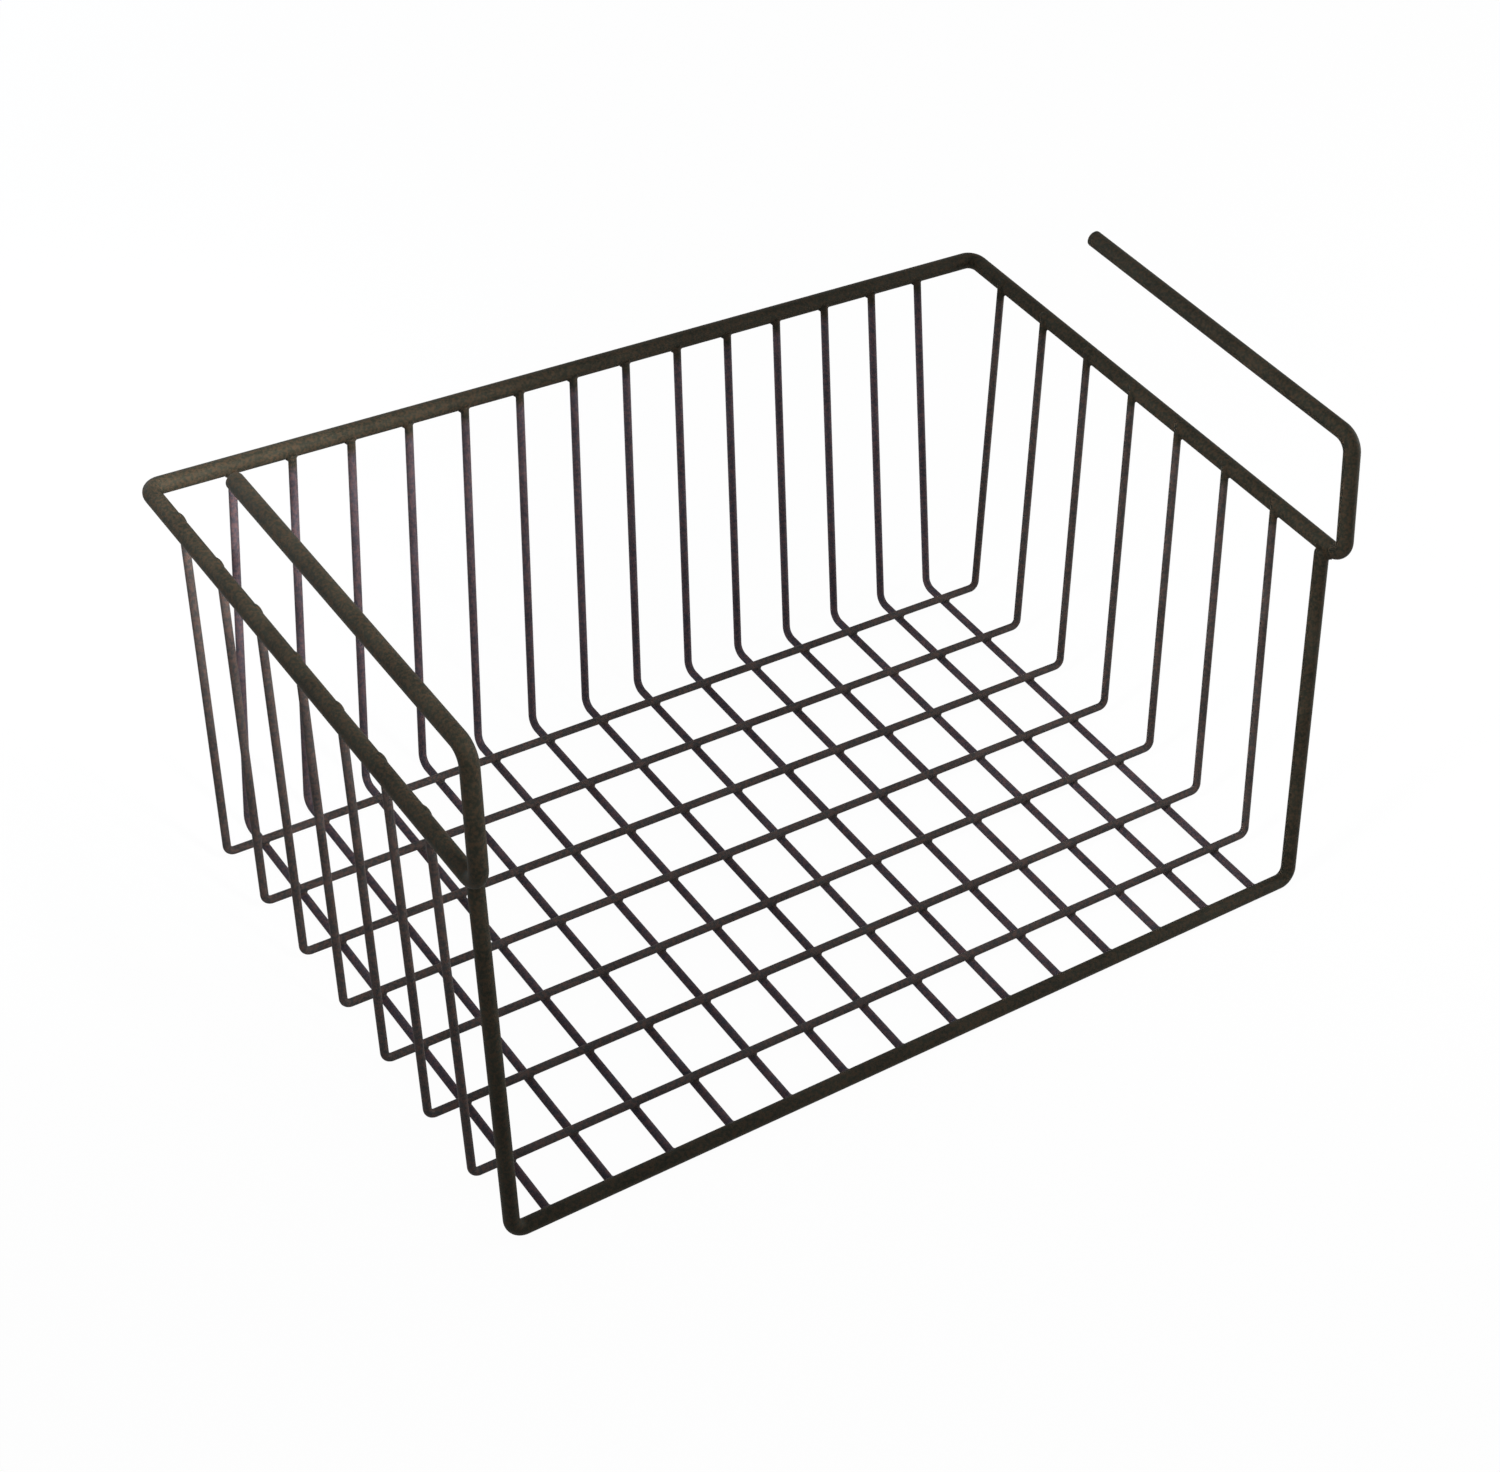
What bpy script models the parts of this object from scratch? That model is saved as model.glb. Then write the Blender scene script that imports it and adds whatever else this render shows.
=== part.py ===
# A wire basket that hangs under a shelf board. Two arms lie on top of the board, the basket
# hangs below it, and its front is open. Metres, X to the right, Y to the back, Z up.
import math

import bmesh
import bpy
from mathutils import Quaternion, Vector

# Wires, all measured across their coating.
rim_wire_diameter = 0.0052
hoop_wire_diameter = 0.0046
thin_wire_diameter = 0.0025
# Left open where two wires are welded on the real basket.
weld_gap = 0.0003

# The basket, between the centre lines of its wires.
basket_width = 0.3000
# How far each side wall opens outwards between the bottom and the rim.
side_flare = 0.0055
wall_height = 0.1086
base_depth = 0.1715
# How far the first and the last cross wire lean back between the bottom and the rim.
front_rake = 0.0306
back_rake = 0.0230
back_wall_extra_lean = 0.0067
# The same lean of the hoop, and how far behind the rim's front bends it meets the rim.
hoop_lean = 0.0297
hoop_to_rim_bend = 0.0068
# The uprights end under the rim, this far inside its centre line.
thin_inset = 0.0019
hoop_inset = 0.0024

# The hanger: a post at each front corner, and an arm running back from it.
hanger_rise = 0.0370
post_lean = 0.0105
arm_reach = 0.1282
arm_tip_chamfer = 0.0006

# The thin wires.
cross_wire_count = 7
first_cross_gap = 0.0208
last_cross_gap = 0.0109
long_wire_count = 14
long_side_gap = 0.0126
long_top_side_gap = 0.0253

# Bend radii of the centre lines.
rim_corner_bend = 0.0038
post_foot_bend = 0.0042
post_head_bend = 0.0064
hoop_bend = 0.0042
cross_bend = 0.0024
long_bend = 0.0040

heavy_sides = 12
thin_sides = 8
bend_steps = 5
sharp_angle = math.radians(60)

coating_colour = (0.028, 0.025, 0.019, 1.0)
coating_roughness = 0.42
coating_metallic = 0.0

# Levels and places that follow from the sizes above.
rim_radius = rim_wire_diameter / 2
hoop_radius = hoop_wire_diameter / 2
thin_radius = thin_wire_diameter / 2
long_level = thin_radius
cross_level = long_level + thin_wire_diameter + weld_gap
hoop_level = hoop_radius
rim_level = cross_level + wall_height
arm_level = rim_level + hanger_rise

base_width = basket_width - 2 * side_flare

rim_front_from_hoop = hoop_lean - hoop_to_rim_bend
rim_back_from_hoop = base_depth + back_rake + back_wall_extra_lean
whole_depth = hoop_radius + rim_back_from_hoop + rim_radius
hoop_y = hoop_radius - whole_depth / 2
rim_front_y = hoop_y + rim_front_from_hoop
rim_back_y = hoop_y + rim_back_from_hoop
back_foot_y = hoop_y + base_depth


def clear_scene():
    for item in list(bpy.data.objects):
        bpy.data.objects.remove(item, do_unlink=True)


def coating(name):
    material = bpy.data.materials.new(name + "_coating")
    material.use_nodes = True
    shader = material.node_tree.nodes["Principled BSDF"]
    shader.inputs["Base Color"].default_value = coating_colour
    shader.inputs["Roughness"].default_value = coating_roughness
    shader.inputs["Metallic"].default_value = coating_metallic
    return material


def stations_along(corners, bends, level_run):
    # Points on the centre line of straight runs joined by round bends. Each comes with the
    # wire's direction and the side of its section that faces up on the level run.
    directions = [(end - start).normalized() for start, end in zip(corners, corners[1:])]
    upward = Vector((0, 0, 1))
    for run in range(level_run, 0, -1):
        upward.rotate(directions[run].rotation_difference(directions[run - 1]))
    stations = [(corners[0], directions[0], upward.copy())]
    for corner, bend, before, after in zip(corners[1:], bends, directions, directions[1:]):
        turn = before.rotation_difference(after)
        inward = (after - before * before.dot(after)).normalized()
        bend_start = corner - before * bend * math.tan(turn.angle / 2)
        bend_centre = bend_start + inward * bend
        for step in range(bend_steps + 1):
            turned = Quaternion(turn.axis, turn.angle * step / bend_steps)
            point = bend_centre + turned @ (bend_start - bend_centre)
            stations.append((point, turned @ before, turned @ upward))
        upward.rotate(turn)
    stations.append((corners[-1], directions[-1], upward.copy()))
    return stations


def chamfered(stations, chamfer):
    # Adds a station just inside each end, where the section has its full width again.
    first, last = stations[0], stations[-1]
    inner_first = (first[0] + first[1] * chamfer, first[1], first[2])
    inner_last = (last[0] - last[1] * chamfer, last[1], last[2])
    return [first, inner_first] + stations[1:-1] + [inner_last, last]


def add_ring(mesh, station, radius, sides):
    # The flats of the ring, not its corners, lie at the wire's radius.
    centre, along, upward = station
    corner_radius = radius / math.cos(math.pi / sides)
    ring = []
    for side in range(sides):
        spoke = Quaternion(along, math.tau * (side + 0.5) / sides) @ upward
        ring.append(mesh.verts.new(centre + spoke * corner_radius))
    return ring


def wire_mesh(name, corners, bends, radius, sides, level_run, chamfer=0):
    stations = stations_along(corners, bends, level_run)
    radii = [radius] * len(stations)
    if chamfer:
        stations = chamfered(stations, chamfer)
        radii = [radius - chamfer] + [radius] * (len(stations) - 2) + [radius - chamfer]
    mesh = bmesh.new()
    rings = [add_ring(mesh, station, wide, sides) for station, wide in zip(stations, radii)]
    for ring, following in zip(rings, rings[1:]):
        for side in range(sides):
            beside = (side + 1) % sides
            mesh.faces.new((ring[side], ring[beside], following[beside], following[side]))
    mesh.faces.new(rings[0])
    mesh.faces.new(rings[-1])
    bmesh.ops.recalc_face_normals(mesh, faces=mesh.faces)
    data = bpy.data.meshes.new(name)
    mesh.to_mesh(data)
    mesh.free()
    data.shade_smooth()
    data.set_sharp_from_angle(angle=sharp_angle)
    return data


def place(name, data, frame, location=(0, 0, 0)):
    piece = bpy.data.objects.new(name, data)
    bpy.context.scene.collection.objects.link(piece)
    piece.location = location
    piece.parent = frame
    data.materials.append(coating(name))
    return piece


def rim_and_hanger_wire(frame):
    # One rod: left arm, left post, left rim, back rim, right rim, right post, right arm.
    side_x = basket_width / 2
    post_head_y = rim_front_y + post_lean
    arm_tip_y = rim_front_y + arm_reach
    left_half = [
        Vector((-side_x, arm_tip_y, arm_level)),
        Vector((-side_x, post_head_y, arm_level)),
        Vector((-side_x, rim_front_y, rim_level)),
        Vector((-side_x, rim_back_y, rim_level)),
    ]
    right_half = [Vector((-point.x, point.y, point.z)) for point in reversed(left_half)]
    left_bends = [post_head_bend, post_foot_bend, rim_corner_bend]
    bends = left_bends + left_bends[::-1]
    corners = left_half + right_half
    data = wire_mesh(
        "rim_and_hanger_wire", corners, bends, rim_radius, heavy_sides, 0, arm_tip_chamfer
    )
    place("rim_and_hanger_wire", data, frame)


def height_under_rim(level, radius, lean):
    # Height of an upright that is cut off just under the rim. The front edge of its cut top
    # stands higher than its middle, because the wire leans.
    rise = rim_level - level
    edge_rise = radius * lean / math.hypot(lean, rise)
    return rise - rim_radius - weld_gap - edge_rise


def hoop_corners(level, radius, lean, inset):
    # A wire with two uprights that end under the rim's sides, about a point under its
    # middle. The uprights head for a line that lies inset from the rim's centre line.
    foot_x = base_width / 2
    outward = basket_width / 2 - inset - foot_x
    rise = rim_level - level
    height = height_under_rim(level, radius, lean)
    top_x = foot_x + outward * height / rise
    top_y = lean * height / rise
    top = level + height
    return [
        Vector((-top_x, top_y, top)),
        Vector((-foot_x, 0, level)),
        Vector((foot_x, 0, level)),
        Vector((top_x, top_y, top)),
    ]


def front_hoop_wire(frame):
    corners = hoop_corners(hoop_level, hoop_radius, hoop_lean, hoop_inset)
    bends = [hoop_bend, hoop_bend]
    data = wire_mesh("front_hoop_wire", corners, bends, hoop_radius, heavy_sides, 1)
    place("front_hoop_wire", data, frame, (0, hoop_y, 0))


def cross_wires(frame):
    # They stand evenly along the bottom, and lean back a little less one after another.
    first_y = hoop_y + first_cross_gap
    last_y = back_foot_y - last_cross_gap
    for index in range(cross_wire_count):
        share = index / (cross_wire_count - 1)
        lean = front_rake + share * (back_rake - front_rake)
        corners = hoop_corners(cross_level, thin_radius, lean, thin_inset)
        name = f"cross_wire_{index + 1}"
        bends = [cross_bend, cross_bend]
        data = wire_mesh(name, corners, bends, thin_radius, thin_sides, 1)
        place(name, data, frame, (0, first_y + share * (last_y - first_y), 0))


def long_wires(frame):
    # Each runs back from the hoop, under the cross wires, and up to the rim's back. They
    # draw together a little towards the rim.
    foot_half = base_width / 2 - long_side_gap
    top_half = basket_width / 2 - long_top_side_gap
    rise = rim_level - long_level
    lean = rim_back_y - thin_inset - back_foot_y
    height = height_under_rim(long_level, thin_radius, lean)
    front_end_y = hoop_y + hoop_radius + weld_gap
    for index in range(long_wire_count):
        share = 2 * index / (long_wire_count - 1) - 1
        foot_x = share * foot_half
        draw = (share * top_half - foot_x) * height / rise
        corners = [
            Vector((0, front_end_y - back_foot_y, long_level)),
            Vector((0, 0, long_level)),
            Vector((draw, lean * height / rise, long_level + height)),
        ]
        name = f"long_wire_{index + 1:02d}"
        data = wire_mesh(name, corners, [long_bend], thin_radius, thin_sides, 0)
        place(name, data, frame, (foot_x, back_foot_y, 0))


def main():
    clear_scene()
    frame = bpy.data.objects.new("basket", None)
    bpy.context.scene.collection.objects.link(frame)
    rim_and_hanger_wire(frame)
    front_hoop_wire(frame)
    cross_wires(frame)
    long_wires(frame)


main()
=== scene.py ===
# A wire basket that hangs under a shelf board, dressed: smooth bent wires, their welds, the
# satin coating that covers both, and a plain pale studio. Metres, Z up, front towards -Y.
import math

import bpy
from mathutils import Matrix, Vector


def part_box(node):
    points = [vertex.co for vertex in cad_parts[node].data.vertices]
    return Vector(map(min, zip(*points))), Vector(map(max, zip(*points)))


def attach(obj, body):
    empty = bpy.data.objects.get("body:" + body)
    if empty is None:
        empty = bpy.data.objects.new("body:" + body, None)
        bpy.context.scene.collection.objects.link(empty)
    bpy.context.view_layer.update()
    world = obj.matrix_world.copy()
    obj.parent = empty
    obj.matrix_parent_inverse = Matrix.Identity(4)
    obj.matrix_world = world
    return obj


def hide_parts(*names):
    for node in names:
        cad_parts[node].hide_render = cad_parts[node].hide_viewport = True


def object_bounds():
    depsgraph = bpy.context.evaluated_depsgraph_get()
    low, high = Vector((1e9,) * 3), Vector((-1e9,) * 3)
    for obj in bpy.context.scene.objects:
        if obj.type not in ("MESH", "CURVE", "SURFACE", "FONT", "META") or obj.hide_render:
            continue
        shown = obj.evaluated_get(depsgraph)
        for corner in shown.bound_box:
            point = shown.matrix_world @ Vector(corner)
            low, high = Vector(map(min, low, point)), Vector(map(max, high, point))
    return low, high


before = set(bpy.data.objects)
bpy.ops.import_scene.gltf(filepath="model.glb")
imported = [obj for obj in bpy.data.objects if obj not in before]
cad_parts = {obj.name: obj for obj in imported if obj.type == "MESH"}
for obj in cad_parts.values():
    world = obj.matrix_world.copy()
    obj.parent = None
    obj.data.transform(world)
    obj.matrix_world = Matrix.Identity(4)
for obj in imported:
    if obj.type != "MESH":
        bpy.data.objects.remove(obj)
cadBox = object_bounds()
print("frame loaded:", len(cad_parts), "wires")

# What several wires share.
basket = {
    "baseLine": 0.1445,  # feet of the side uprights, from the middle
    "depth": 0.1715,  # from the front hoop to the feet of the back wall
    "rimDiameter": 0.0052,
    "endSteps": 3,  # round a softened cut end
    "smoothTo": 50,  # degrees between two faces that still shade as one
}
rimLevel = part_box("rim_and_hanger_wire")[0].z + basket["rimDiameter"] / 2


def clearSelection():
    bpy.ops.object.select_all(action="DESELECT")


def finishPiece(piece, name, material):
    # its place goes into its mesh, then it rides on the basket
    clearSelection()
    piece.select_set(True)
    bpy.context.view_layer.objects.active = piece
    bpy.ops.object.transform_apply(location=True, rotation=True, scale=True)
    bpy.ops.object.shade_smooth_by_angle(angle=math.radians(basket["smoothTo"]))
    piece.name = name
    piece.data.name = name
    piece.data.materials.clear()
    piece.data.materials.append(material)
    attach(piece, "root")
    return piece


# The coating: shared effects first, then one material for each kind of wire.

coating = {
    "rod": {
        "dark": (0.0090, 0.0097, 0.0067, 1),
        "pale": (0.0282, 0.0298, 0.0222, 1),
        "sheen": (1.0, 0.94, 0.80, 1),  # tint of its reflections, but for glancing ones
    },
    "cross": {
        "dark": (0.0230, 0.0232, 0.0235, 1),
        "pale": (0.0540, 0.0545, 0.0550, 1),
        "sheen": (1.0, 0.93, 0.88, 1),
    },
    "long": {
        "dark": (0.0260, 0.0246, 0.0308, 1),
        "pale": (0.0615, 0.0580, 0.0725, 1),
        "sheen": (1.0, 0.90, 0.94, 1),
    },
    "brown": (1.40, 0.90, 0.76, 1),  # what its brown specks do to the tone
    "patchSize": 0.014,  # of the broad uneven tone
    "patchDetail": 4.0,
    "speckSize": 0.0010,
    "speckDetail": 2.0,
    "speckShare": 0.6,  # of the tone, the rest is the broad patches
    "grit": 0.6,  # roughness of both patterns
    "darkUpTo": 0.34,  # of each pattern, the dark and the pale end
    "paleFrom": 0.66,
    "peelSize": 0.0011,  # of the fine skin left by baking
    "peelDetail": 2.0,
    "peelDepth": 0.000014,
    "finerBy": 3.1,  # how many times smaller the dimples over it are
    "finerDetail": 1.0,
    "finerDepth": 0.3,  # of the skin's own
    "smooth": 0.58,  # roughness of its dark spots
    "dull": 0.76,  # and of its pale ones
    "gloss": 0.08,  # specular level
    "blendStart": 0.0062,  # below the rim's line, where a thin wire turns to the rods' tone
    "blendEnd": 0.0030,
}


def newGroup(name, inputs, outputs):
    group = bpy.data.node_groups.new(name, "ShaderNodeTree")
    for label, kind in inputs:
        group.interface.new_socket(label, in_out="INPUT", socket_type=kind)
    for label, kind in outputs:
        group.interface.new_socket(label, in_out="OUTPUT", socket_type=kind)
    return group, group.nodes.new("NodeGroupInput"), group.nodes.new("NodeGroupOutput")


def makePeelGroup():
    # the fine skin of a baked coating: soft dimples with finer ones over them
    group, given, result = newGroup(
        "bakedSkin", [("Scale", "NodeSocketFloat")], [("Height", "NodeSocketFloat")]
    )
    place = group.nodes.new("ShaderNodeTexCoord")
    soft = group.nodes.new("ShaderNodeTexNoise")
    soft.inputs["Detail"].default_value = coating["peelDetail"]
    fine = group.nodes.new("ShaderNodeTexNoise")
    fine.inputs["Detail"].default_value = coating["finerDetail"]
    finer = group.nodes.new("ShaderNodeMath")
    finer.operation = "MULTIPLY"
    finer.inputs[1].default_value = coating["finerBy"]
    both = group.nodes.new("ShaderNodeMath")
    both.operation = "MULTIPLY_ADD"
    both.inputs[1].default_value = coating["finerDepth"]
    link = group.links.new
    link(place.outputs["Object"], soft.inputs["Vector"])
    link(place.outputs["Object"], fine.inputs["Vector"])
    link(given.outputs["Scale"], soft.inputs["Scale"])
    link(given.outputs["Scale"], finer.inputs[0])
    link(finer.outputs[0], fine.inputs["Scale"])
    link(fine.outputs["Fac"], both.inputs[0])
    link(soft.outputs["Fac"], both.inputs[2])
    link(both.outputs[0], result.inputs["Height"])
    return group


def makeToneGroup():
    # broad patches where the coating lies thicker or thinner, and fine brown specks over them
    group, given, result = newGroup(
        "unevenTone",
        [
            ("Dark", "NodeSocketColor"),
            ("Pale", "NodeSocketColor"),
            ("Brown", "NodeSocketColor"),
            ("Patches", "NodeSocketFloat"),
            ("Specks", "NodeSocketFloat"),
            ("Speck Share", "NodeSocketFloat"),
        ],
        [("Color", "NodeSocketColor"), ("Share", "NodeSocketFloat")],
    )
    place = group.nodes.new("ShaderNodeTexCoord")
    link = group.links.new
    shares = []
    for size, detail in (("Patches", "patchDetail"), ("Specks", "speckDetail")):
        noise = group.nodes.new("ShaderNodeTexNoise")
        noise.inputs["Detail"].default_value = coating[detail]
        noise.inputs["Roughness"].default_value = coating["grit"]
        spread = group.nodes.new("ShaderNodeMapRange")
        spread.interpolation_type = "SMOOTHSTEP"
        spread.inputs["From Min"].default_value = coating["darkUpTo"]
        spread.inputs["From Max"].default_value = coating["paleFrom"]
        link(place.outputs["Object"], noise.inputs["Vector"])
        link(given.outputs[size], noise.inputs["Scale"])
        link(noise.outputs["Fac"], spread.inputs["Value"])
        shares.append(spread.outputs["Result"])
    share = group.nodes.new("ShaderNodeMix")
    link(given.outputs["Speck Share"], share.inputs["Factor"])
    link(shares[0], share.inputs["A"])
    link(shares[1], share.inputs["B"])
    tone = group.nodes.new("ShaderNodeMix")
    tone.data_type = "RGBA"
    link(share.outputs["Result"], tone.inputs["Factor"])
    link(given.outputs["Dark"], tone.inputs["A"])
    link(given.outputs["Pale"], tone.inputs["B"])
    speck = group.nodes.new("ShaderNodeMix")
    speck.data_type = "RGBA"
    speck.blend_type = "MULTIPLY"
    link(shares[1], speck.inputs["Factor"])
    link(tone.outputs["Result"], speck.inputs["A"])
    link(given.outputs["Brown"], speck.inputs["B"])
    link(speck.outputs["Result"], result.inputs["Color"])
    link(share.outputs["Result"], result.inputs["Share"])
    return group


def makeBlendGroup():
    # a thin wire turns to the rods' tone towards its top, just below the rim's line
    group, given, result = newGroup(
        "weldBlend",
        [
            ("Thin Dark", "NodeSocketColor"),
            ("Thin Pale", "NodeSocketColor"),
            ("Rod Dark", "NodeSocketColor"),
            ("Rod Pale", "NodeSocketColor"),
            ("Start Height", "NodeSocketFloat"),
            ("End Height", "NodeSocketFloat"),
        ],
        [("Dark", "NodeSocketColor"), ("Pale", "NodeSocketColor")],
    )
    place = group.nodes.new("ShaderNodeTexCoord")
    height = group.nodes.new("ShaderNodeSeparateXYZ")
    share = group.nodes.new("ShaderNodeMapRange")
    link = group.links.new
    link(place.outputs["Object"], height.inputs["Vector"])
    link(height.outputs["Z"], share.inputs["Value"])
    link(given.outputs["Start Height"], share.inputs["From Min"])
    link(given.outputs["End Height"], share.inputs["From Max"])
    for end in ("Dark", "Pale"):
        blend = group.nodes.new("ShaderNodeMix")
        blend.data_type = "RGBA"
        link(share.outputs["Result"], blend.inputs["Factor"])
        link(given.outputs[f"Thin {end}"], blend.inputs["A"])
        link(given.outputs[f"Rod {end}"], blend.inputs["B"])
        link(blend.outputs["Result"], result.inputs[end])
    return group


def blendToRod(nodes, link, tone, tint):
    blend = nodes.new("ShaderNodeGroup")
    blend.node_tree = blendGroup
    blend.inputs["Thin Dark"].default_value = tint["dark"]
    blend.inputs["Thin Pale"].default_value = tint["pale"]
    blend.inputs["Rod Dark"].default_value = coating["rod"]["dark"]
    blend.inputs["Rod Pale"].default_value = coating["rod"]["pale"]
    blend.inputs["Start Height"].default_value = rimLevel - coating["blendStart"]
    blend.inputs["End Height"].default_value = rimLevel - coating["blendEnd"]
    link(blend.outputs["Dark"], tone.inputs["Dark"])
    link(blend.outputs["Pale"], tone.inputs["Pale"])


def makeCoating(name, tint, reachesRim=False):
    material = bpy.data.materials.new(name)
    material.use_nodes = True
    nodes, link = material.node_tree.nodes, material.node_tree.links.new
    shader = nodes["Principled BSDF"]
    shader.inputs["Metallic"].default_value = 0
    shader.inputs["Specular IOR Level"].default_value = coating["gloss"]
    shader.inputs["Specular Tint"].default_value = tint["sheen"]
    tone = nodes.new("ShaderNodeGroup")
    tone.node_tree = toneGroup
    tone.inputs["Dark"].default_value = tint["dark"]
    tone.inputs["Pale"].default_value = tint["pale"]
    if reachesRim:
        blendToRod(nodes, link, tone, tint)
    tone.inputs["Brown"].default_value = coating["brown"]
    tone.inputs["Patches"].default_value = 1 / coating["patchSize"]
    tone.inputs["Specks"].default_value = 1 / coating["speckSize"]
    tone.inputs["Speck Share"].default_value = coating["speckShare"]
    sheen = nodes.new("ShaderNodeMapRange")
    sheen.inputs["To Min"].default_value = coating["smooth"]
    sheen.inputs["To Max"].default_value = coating["dull"]
    skin = nodes.new("ShaderNodeGroup")
    skin.node_tree = peelGroup
    skin.inputs["Scale"].default_value = 1 / coating["peelSize"]
    bump = nodes.new("ShaderNodeBump")
    bump.inputs["Distance"].default_value = coating["peelDepth"]
    link(tone.outputs["Color"], shader.inputs["Base Color"])
    link(tone.outputs["Share"], sheen.inputs["Value"])
    link(sheen.outputs["Result"], shader.inputs["Roughness"])
    link(skin.outputs["Height"], bump.inputs["Height"])
    link(bump.outputs["Normal"], shader.inputs["Normal"])
    return material


peelGroup = makePeelGroup()
toneGroup = makeToneGroup()
blendGroup = makeBlendGroup()
rodCoating = makeCoating("rodCoating", coating["rod"])
crossCoating = makeCoating("crossCoating", coating["cross"], reachesRim=True)
longCoating = makeCoating("longCoating", coating["long"], reachesRim=True)
print("coating mixed")


def layWire(name, corners, bends, wire, material):
    # a round disc, drawn along each run and spun round each bend, with its cut ends softened
    headings = [(end - start).normalized() for start, end in zip(corners, corners[1:])]
    clearSelection()
    bpy.ops.mesh.primitive_circle_add(
        vertices=wire["sides"],
        radius=wire["diameter"] / 2,
        fill_type="NGON",
        location=corners[0],
        rotation=headings[0].to_track_quat("Z", "Y").to_euler(),
    )
    piece = bpy.context.object
    bpy.ops.object.mode_set(mode="EDIT")
    bpy.ops.mesh.select_all(action="SELECT")
    here = corners[0]
    for corner, bend, before, after in zip(corners[1:], bends, headings, headings[1:]):
        turn = before.rotation_difference(after)
        inward = (after - before * before.dot(after)).normalized()
        trim = bend * math.tan(turn.angle / 2)
        bendStart = corner - before * trim
        bpy.ops.mesh.extrude_region_move(TRANSFORM_OT_translate={"value": bendStart - here})
        bpy.ops.mesh.spin(
            steps=wire["bendSteps"],
            angle=-turn.angle,
            center=bendStart + inward * bend,
            axis=turn.axis,
        )
        here = corner + after * trim
    bpy.ops.mesh.extrude_region_move(TRANSFORM_OT_translate={"value": corners[-1] - here})
    bpy.ops.object.mode_set(mode="OBJECT")
    for face in piece.data.polygons:
        face.select = len(face.vertices) == wire["sides"]  # the two cut ends
    bpy.ops.object.mode_set(mode="EDIT")
    bpy.ops.mesh.select_mode(type="FACE")
    bpy.ops.mesh.bevel(
        offset=wire["endRounding"], segments=basket["endSteps"], affect="EDGES"
    )
    bpy.ops.mesh.select_all(action="SELECT")
    bpy.ops.mesh.normals_make_consistent(inside=False)
    bpy.ops.object.mode_set(mode="OBJECT")
    return finishPiece(piece, name, material)


# The heavy rod: left arm, left post, rim, right post, right arm.

rimRod = {
    "node": "rim_and_hanger_wire",
    "diameter": basket["rimDiameter"],
    "setback": 0.0229,  # its front bends, behind the hoop's lower run
    "postLean": 0.0105,  # from a post's foot back to its head
    "armReach": 0.1282,  # from the front bends back to an arm's tip
    "headBend": 0.0064,  # radius of its centre line, as all bends here
    "footBend": 0.0042,
    "cornerBend": 0.0038,
    "endRounding": 0.0006,
    "sides": 36,  # round its section
    "bendSteps": 14,  # along each bend
}

# The heavy hoop at the open front.

frontHoop = {
    "node": "front_hoop_wire",
    "diameter": 0.0046,
    "lean": 0.0297,  # from an upright's foot back to the rim
    "inset": 0.0024,  # its tops, inside the rim's line
    "tipRise": 0,  # its tops, above the rim's line, sunk in the weld
    "bend": 0.0042,
    "endRounding": 0.0012,
    "sides": 32,
    "bendSteps": 14,
}

# Lines that the wires meet on, from the boxes of the two heavy ones.
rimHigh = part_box(rimRod["node"])[1]
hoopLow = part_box(frontHoop["node"])[0]
rimRadius = rimRod["diameter"] / 2
hoopRadius = frontHoop["diameter"] / 2
sideX = rimHigh.x - rimRadius
backY = rimHigh.y - rimRadius
armLevel = rimHigh.z - rimRadius
hoopY = hoopLow.y + hoopRadius
hoopLevel = hoopLow.z + hoopRadius
backFootY = hoopY + basket["depth"]


def layRimRod():
    frontY = hoopY + rimRod["setback"]
    leftHalf = [
        Vector((-sideX, frontY + rimRod["armReach"], armLevel)),
        Vector((-sideX, frontY + rimRod["postLean"], armLevel)),
        Vector((-sideX, frontY, rimLevel)),
        Vector((-sideX, backY, rimLevel)),
    ]
    rightHalf = [Vector((-point.x, point.y, point.z)) for point in reversed(leftHalf)]
    leftBends = [rimRod["headBend"], rimRod["footBend"], rimRod["cornerBend"]]
    rod = layWire(
        "rimAndHangerRod",
        leftHalf + rightHalf,
        leftBends + leftBends[::-1],
        rimRod,
        rodCoating,
    )
    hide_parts(rimRod["node"])


def uprightHeading(y, level, lean, inset):
    # from the foot of a right side upright to where it aims on the rim
    foot = Vector((basket["baseLine"], y, level))
    aim = Vector((sideX - inset, y + lean, rimLevel))
    return foot, aim


def layHoopWire(name, wire, y, level, lean, material):
    # down one side, across the bottom and up the other
    foot, aim = uprightHeading(y, level, lean, wire["inset"])
    tip = foot + (aim - foot) * (1 + wire["tipRise"] / (rimLevel - level))
    corners = [
        Vector((-tip.x, tip.y, tip.z)),
        Vector((-foot.x, foot.y, foot.z)),
        foot,
        tip,
    ]
    return layWire(name, corners, [wire["bend"], wire["bend"]], wire, material)


layRimRod()
hoop = layHoopWire("frontHoop", frontHoop, hoopY, hoopLevel, frontHoop["lean"], rodCoating)
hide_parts(frontHoop["node"])
print("heavy rods bent")

# The thin wires: seven cross wires that rise at the sides, and fourteen long wires under
# them that rise at the back.

crossWire = {
    "count": 7,
    "diameter": 0.0025,
    "frontLean": 0.0306,  # of the first one's uprights
    "backLean": 0.0230,  # of the last one's
    "inset": 0.0019,  # its tops, inside the rim's line
    "tipRise": 0.0009,  # its tops, above the rim's line
    "bend": 0.0024,
    "endRounding": 0.0009,
    "sides": 24,
    "bendSteps": 10,
}

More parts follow.
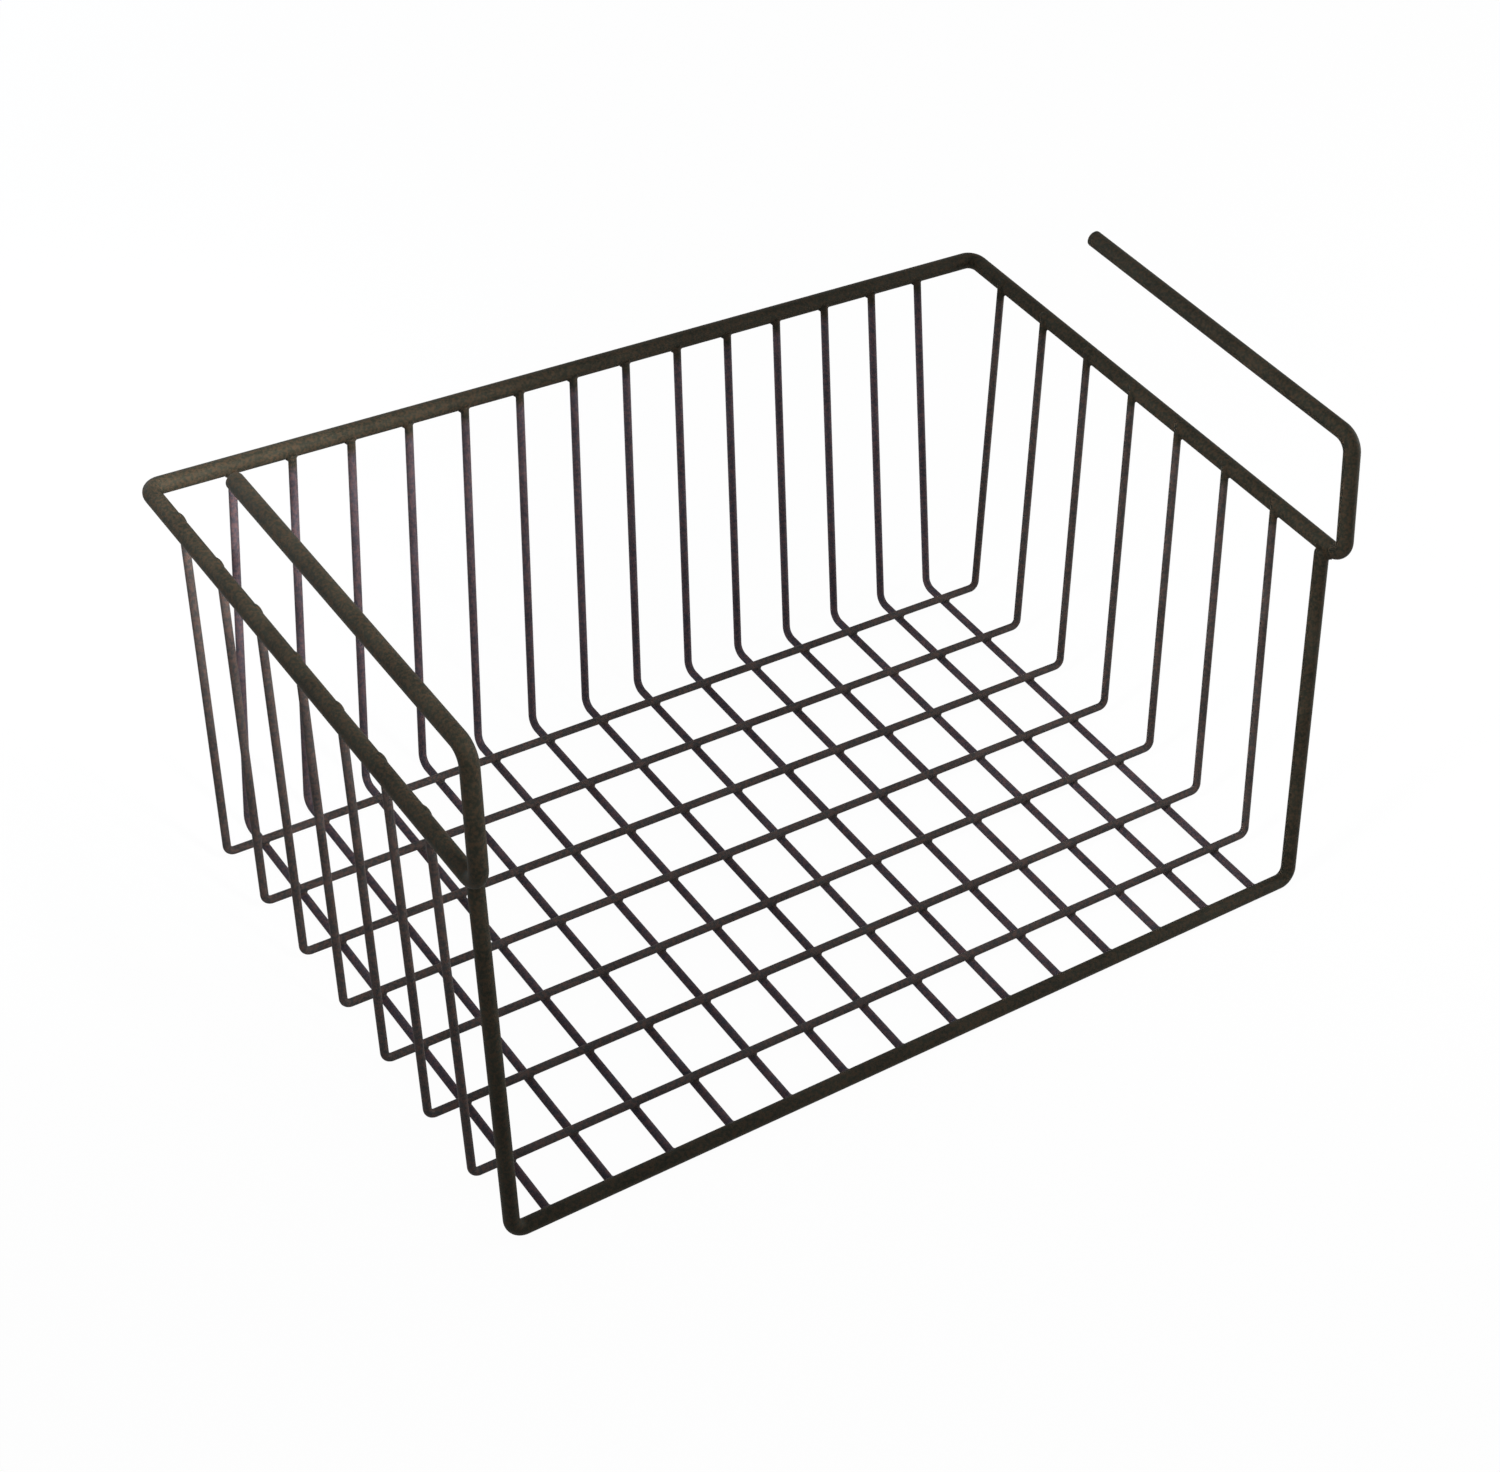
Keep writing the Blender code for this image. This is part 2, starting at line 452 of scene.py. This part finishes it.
longWire = {
    "count": 14,
    "diameter": 0.0025,
    "footLine": 0.1319,  # the outermost foot, from the middle
    "topLine": 0.1247,  # the outermost top, at the rim's level
    "inset": 0.0019,  # its top, in front of the rim's line
    "tipRise": -0.0006,  # its top, under the rim's line
    "frontEnd": 0.0010,  # behind the hoop's line, sunk in it
    "bend": 0.0040,
    "endRounding": 0.0004,
    "sides": 24,
    "bendSteps": 10,
}


def crossLean(index):
    share = index / (crossWire["count"] - 1)
    return crossWire["frontLean"] + share * (crossWire["backLean"] - crossWire["frontLean"])


def layCrossWires():
    places = []
    for index in range(crossWire["count"]):
        node = f"cross_wire_{index + 1}"
        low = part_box(node)[0]
        y = low.y + crossWire["diameter"] / 2
        level = low.z + crossWire["diameter"] / 2
        piece = layHoopWire(
            f"crossWire_{index + 1}", crossWire, y, level, crossLean(index), crossCoating
        )
        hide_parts(node)
        places.append((y, level))
    return places


def layLongWires():
    places = []
    lean = backY - longWire["inset"] - backFootY
    for index in range(longWire["count"]):
        node = f"long_wire_{index + 1:02d}"
        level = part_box(node)[0].z + longWire["diameter"] / 2
        share = 2 * index / (longWire["count"] - 1) - 1
        foot = Vector((share * longWire["footLine"], backFootY, level))
        climb = Vector((share * longWire["topLine"] - foot.x, lean, rimLevel - level))
        tip = foot + climb * (1 + longWire["tipRise"] / climb.z)
        front = Vector((foot.x, hoopY + longWire["frontEnd"], level))
        piece = layWire(
            f"longWire_{index + 1:02d}",
            [front, foot, tip],
            [longWire["bend"]],
            longWire,
            longCoating,
        )
        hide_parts(node)
        places.append((foot, climb))
    return places


crossPlaces = layCrossWires()
longPlaces = layLongWires()
print("thin wires bent")

# The welds: where two wires meet, a plug fills the corner between them with a hollow curve,
# as a ball rolled round the crossing would leave it.

weld = {
    "stations": 16,  # round a crossing
    "arcSteps": 3,  # along the hollow curve
    "grid": 0.0007,  # radius of the hollow curve at a grid crossing
    "hoop": 0.0014,  # where a long wire ends at the hoop
    "rim": 0.0009,  # at the side uprights' tops
    "back": 0.0006,  # at the back uprights' tops
    "cut": 0.0010,  # above a cut end
    "under": 0.00008,  # how far its edges run under the wires' skin
    "tipShare": 0.6,  # how much of a plug is left above a sunk top
    "beadLength": 0.0044,  # the low bead over a side upright's top, along the rim
    "beadHeight": 0.0030,
    "beadDepth": 0.0019,
    "beadProud": 0.00045,  # of the rim's skin
    "beadTurn": 38,  # degrees that it lies above the rim's inner side
    "beadSegments": 20,
    "beadRings": 10,
}


def weldPoint(angle, share, upperRadius, lowerRadius, apart, wide, narrow, cutShare):
    # the upper wire runs along X through the middle, the lower one along Y, apart below it;
    # the lower one's cut end, if it has one, is towards -Y, where the ball is narrow and the
    # plug is drawn in; angle is round the crossing, share from the upper wire to the lower
    ball = narrow + (wide - narrow) * (1 + math.sin(angle)) / 2
    top = lowerRadius + ball - apart
    bottom = -(upperRadius + ball)
    z = (top + bottom) / 2 - (top - bottom) / 2 * math.cos(2 * angle)
    x = math.sqrt(max(0, (lowerRadius + ball) ** 2 - (z + apart) ** 2))
    y = math.sqrt(max(0, (upperRadius + ball) ** 2 - z ** 2))
    x = math.copysign(x, math.cos(angle))
    y = math.copysign(y, math.sin(angle))
    toUpper = Vector((0, -y, -z)).normalized()
    toLower = Vector((-x, 0, -apart - z)).normalized()
    swing = toUpper.rotation_difference(toLower)
    spoke = Matrix.Rotation(swing.angle * share, 3, swing.axis) @ toUpper
    deep = weld["under"] if share in (0, 1) else 0
    point = Vector((x, y, z)) + spoke * (ball + deep)
    if point.y < 0:
        point.y *= cutShare
    return point


def makePlug(upperRadius, lowerRadius, apart, wide, narrow, cutShare=1):
    # a unit drum, its side cut into steps, then drawn over the crossing from top to bottom
    clearSelection()
    bpy.ops.mesh.primitive_cylinder_add(
        vertices=weld["stations"], radius=1, depth=1, end_fill_type="NGON"
    )
    plug = bpy.context.object
    bpy.ops.object.mode_set(mode="EDIT")
    bpy.ops.mesh.select_mode(type="EDGE")
    bpy.ops.mesh.select_all(action="DESELECT")
    bpy.ops.object.mode_set(mode="OBJECT")
    corners = plug.data.vertices
    for edge in plug.data.edges:
        one, other = (corners[corner].co for corner in edge.vertices)
        edge.select = one.z * other.z < 0  # from the drum's top to its bottom
    bpy.ops.object.mode_set(mode="EDIT")
    bpy.ops.mesh.subdivide(number_cuts=weld["arcSteps"] - 1)
    bpy.ops.object.mode_set(mode="OBJECT")
    for corner in plug.data.vertices:
        angle = math.atan2(corner.co.y, corner.co.x)
        share = round((0.5 - corner.co.z) * weld["arcSteps"]) / weld["arcSteps"]
        corner.co = weldPoint(
            angle, share, upperRadius, lowerRadius, apart, wide, narrow, cutShare
        )
    return plug


def setWelds(name, plug, places, material):
    # a copy of the plug at each place, joined in one piece
    copies = []
    for place in places:
        copy = plug.copy()
        copy.data = plug.data.copy()
        copy.data.transform(place)
        bpy.context.scene.collection.objects.link(copy)
        copies.append(copy)
    clearSelection()
    for copy in copies:
        copy.select_set(True)
    bpy.context.view_layer.objects.active = copies[0]
    bpy.ops.object.join()
    bpy.ops.object.mode_set(mode="EDIT")
    bpy.ops.mesh.select_all(action="SELECT")
    bpy.ops.mesh.normals_make_consistent(inside=False)
    bpy.ops.object.mode_set(mode="OBJECT")
    finishPiece(copies[0], name, material)


def placeAt(point, alongUpper, alongLower, towardsUpper):
    place = Matrix((alongUpper, alongLower, towardsUpper)).transposed().to_4x4()
    place.translation = point
    return place


def weldGrid():
    crossRadius = crossWire["diameter"] / 2
    longRadius = longWire["diameter"] / 2
    apart = crossPlaces[0][1] - longPlaces[0][0].z
    plug = makePlug(crossRadius, longRadius, apart, weld["grid"], weld["grid"])
    for index, (y, level) in enumerate(crossPlaces):
        places = [Matrix.Translation((foot.x, y, level)) for foot, climb in longPlaces]
        setWelds(f"crossWireWelds_{index + 1}", plug, places, crossCoating)
    bpy.data.objects.remove(plug)


def weldHoop():
    longRadius = longWire["diameter"] / 2
    apart = hoopLevel - longPlaces[0][0].z
    plug = makePlug(
        hoopRadius, longRadius, apart, weld["hoop"], weld["cut"], weld["tipShare"]
    )
    places = [Matrix.Translation((foot.x, hoopY, hoopLevel)) for foot, climb in longPlaces]
    setWelds("frontHoopWelds", plug, places, longCoating)
    bpy.data.objects.remove(plug)


def sideWeldPlaces(side, uprights, inset):
    # where uprights reach the rim's left (-1) or right (+1) side
    places = []
    for y, level, lean in uprights:
        foot, aim = uprightHeading(y, level, lean, inset)
        climb = (aim - foot).normalized()
        climb.x *= side
        point = Vector((side * sideX, aim.y, rimLevel))
        places.append(placeAt(point, Vector((0, -side, 0)), -climb, Vector((side, 0, 0))))
    return places


def makeBead():
    # a low swelling on the rim's inner side, over the top of an upright: a ball one across,
    # drawn to its size
    turn = math.radians(weld["beadTurn"])
    reach = rimRadius + weld["beadProud"] - weld["beadDepth"] / 2
    clearSelection()
    bpy.ops.mesh.primitive_uv_sphere_add(
        segments=weld["beadSegments"],
        ring_count=weld["beadRings"],
        radius=0.5,
        location=(0, -reach * math.sin(turn), -reach * math.cos(turn)),
        rotation=(-turn, 0, 0),
        scale=(weld["beadLength"], weld["beadHeight"], weld["beadDepth"]),
    )
    bpy.ops.object.transform_apply(location=True, rotation=True, scale=True)
    return bpy.context.object


def makeRimPlug(radius, inset, wide):
    return makePlug(rimRadius, radius, inset, wide, weld["cut"], weld["tipShare"])


def weldRimSides():
    plug = makeRimPlug(crossWire["diameter"] / 2, crossWire["inset"], weld["rim"])
    bead = makeBead()
    uprights = [(y, level, crossLean(index)) for index, (y, level) in enumerate(crossPlaces)]
    for side, label in ((-1, "Left"), (1, "Right")):
        places = sideWeldPlaces(side, uprights, crossWire["inset"])
        setWelds(f"rim{label}Welds", plug, places, crossCoating)
        setWelds(f"rim{label}Beads", bead, places, rodCoating)
    bpy.data.objects.remove(plug)
    bpy.data.objects.remove(bead)


def weldRimHoop():
    plug = makeRimPlug(hoopRadius, frontHoop["inset"], weld["rim"])
    uprights = [(hoopY, hoopLevel, frontHoop["lean"])]
    places = sideWeldPlaces(-1, uprights, frontHoop["inset"])
    places += sideWeldPlaces(1, uprights, frontHoop["inset"])
    setWelds("rimHoopWelds", plug, places, rodCoating)
    bpy.data.objects.remove(plug)


def weldRimBack():
    plug = makeRimPlug(longWire["diameter"] / 2, longWire["inset"], weld["back"])
    places = []
    for foot, climb in longPlaces:
        point = Vector((foot.x + climb.x, backY, rimLevel))
        places.append(
            placeAt(point, Vector((1, 0, 0)), -climb.normalized(), Vector((0, 1, 0)))
        )
    setWelds("rimBackWelds", plug, places, longCoating)
    bpy.data.objects.remove(plug)


weldGrid()
weldHoop()
weldRimSides()
weldRimHoop()
weldRimBack()
print("welds set")

# A plain pale studio.

studio = {
    "floorSize": 12.0,
    "floorColour": (0.86, 0.86, 0.86, 1),
    "floorGlow": 0.97,  # share of plain white that the camera sees, the rest is lit
    "worldColour": (0.93, 0.96, 1.0, 1),
    "worldStrength": 0.52,
}


def addSwitch(nodes, link):
    # 1 for what the camera sees, also by reflection or through glass
    path = nodes.new("ShaderNodeLightPath")
    seen = nodes.new("ShaderNodeMath")
    seen.operation = "MAXIMUM"
    shown = nodes.new("ShaderNodeMath")
    shown.operation = "MAXIMUM"
    link(path.outputs["Is Camera Ray"], seen.inputs[0])
    link(path.outputs["Is Glossy Ray"], seen.inputs[1])
    link(seen.outputs[0], shown.inputs[0])
    link(path.outputs["Is Transmission Ray"], shown.inputs[1])
    return shown


def layFloor():
    clearSelection()
    bpy.ops.mesh.primitive_plane_add(size=studio["floorSize"], location=(0, 0, cadBox[0].z))
    floor = bpy.context.object
    floor.name = "floor"
    material = bpy.data.materials.new("paleFloor")
    material.use_nodes = True
    nodes, link = material.node_tree.nodes, material.node_tree.links.new
    nodes.clear()
    lit = nodes.new("ShaderNodeBsdfDiffuse")
    lit.inputs["Color"].default_value = studio["floorColour"]
    white = nodes.new("ShaderNodeEmission")
    shown = addSwitch(nodes, link)
    share = nodes.new("ShaderNodeMath")
    share.operation = "MULTIPLY"
    share.inputs[1].default_value = studio["floorGlow"]
    mix = nodes.new("ShaderNodeMixShader")
    output = nodes.new("ShaderNodeOutputMaterial")
    link(shown.outputs[0], share.inputs[0])
    link(share.outputs[0], mix.inputs["Fac"])
    link(lit.outputs[0], mix.inputs[1])
    link(white.outputs[0], mix.inputs[2])
    link(mix.outputs[0], output.inputs["Surface"])
    floor.data.materials.append(material)


def makeWorld():
    world = bpy.data.worlds.new("paleRoom")
    bpy.context.scene.world = world
    world.use_nodes = True
    nodes, link = world.node_tree.nodes, world.node_tree.links.new
    nodes.clear()
    room = nodes.new("ShaderNodeBackground")
    room.inputs["Color"].default_value = studio["worldColour"]
    room.inputs["Strength"].default_value = studio["worldStrength"]
    white = nodes.new("ShaderNodeBackground")
    white.inputs["Color"].default_value = (1, 1, 1, 1)
    white.inputs["Strength"].default_value = 1
    shown = addSwitch(nodes, link)
    mix = nodes.new("ShaderNodeMixShader")
    output = nodes.new("ShaderNodeOutputWorld")
    link(shown.outputs[0], mix.inputs["Fac"])
    link(room.outputs[0], mix.inputs[1])
    link(white.outputs[0], mix.inputs[2])
    link(mix.outputs[0], output.inputs["Surface"])


# Two spots for the paler left corner and arm, one for the seen sides of the right-hand wires,
# a broad fill from the right, and a cool one low behind that draws the wires' edges.
lamps = {
    "corner": {
        "place": (0.05, -0.5, 0.65),
        "aim": (-0.16, 0.14, 0.105),
        "size": 0.12,
        "spread": 25,
        "power": 0.32,
        "colour": (1, 0.98, 0.95),
    },
    "tip": {
        "place": (-0.50, -0.35, 0.55),
        "aim": (-0.155, 0.105, 0.135),
        "size": 0.06,
        "spread": 14,
        "power": 0.055,
        "colour": (1, 0.99, 0.96),
    },
    "side": {
        "place": (-0.8, -0.1, 0.7),
        "aim": (0.15, -0.06, 0.09),
        "size": 0.12,
        "spread": 19,
        "power": 0.14,
        "colour": (1, 0.99, 0.96),
    },
    "fill": {
        "place": (0.80, -0.20, 0.22),
        "aim": (0.10, 0, 0.08),
        "size": 0.4,
        "spread": 180,
        "power": 5.0,
        "colour": (1, 0.99, 0.96),
    },
    "edge": {
        "place": (-0.25, 0.75, 0.12),
        "aim": (0, 0, 0.076),
        "size": 0.6,
        "spread": 180,
        "power": 4.0,
        "colour": (0.70, 0.85, 1),
    },
}


def hangLamps():
    for name, lamp in lamps.items():
        place = Vector(lamp["place"])
        bpy.ops.object.light_add(type="AREA", location=place)
        light = bpy.context.object
        light.name = name + "Lamp"
        light.rotation_euler = (Vector(lamp["aim"]) - place).to_track_quat("-Z", "Y").to_euler()
        light.visible_camera = False
        light.data.size = lamp["size"]
        light.data.spread = math.radians(lamp["spread"])
        light.data.energy = lamp["power"]
        light.data.color = lamp["colour"]


camera = {
    "aim": (-0.0163, -0.0167, 0.0600),
    "distance": 0.8262,
    "turn": 42.15,  # degrees from the front towards the basket's left side
    "height": 40.77,  # degrees above the level
    "roll": 10.23,  # degrees
    "lens": 67.97,  # millimetres, as the sensor's width
    "sensor": 36,
    "sees": 50,  # metres
}


def setCamera():
    turn, height = math.radians(camera["turn"]), math.radians(camera["height"])
    away = Vector(
        (
            -math.sin(turn) * math.cos(height),
            -math.cos(turn) * math.cos(height),
            math.sin(height),
        )
    )
    aim = Vector(camera["aim"])
    look = (-away).to_track_quat("-Z", "Y").to_matrix()
    roll = Matrix.Rotation(math.radians(camera["roll"]), 3, "Z")
    bpy.ops.object.camera_add(
        location=aim + away * camera["distance"], rotation=(look @ roll).to_euler()
    )
    eye = bpy.context.object
    eye.name = "camera"
    eye.data.lens = camera["lens"]
    eye.data.sensor_width = camera["sensor"]
    eye.data.clip_end = camera["sees"]
    bpy.context.scene.camera = eye


layFloor()
makeWorld()
hangLamps()
setCamera()
bpy.context.scene.view_settings.view_transform = "Standard"
print("studio ready")
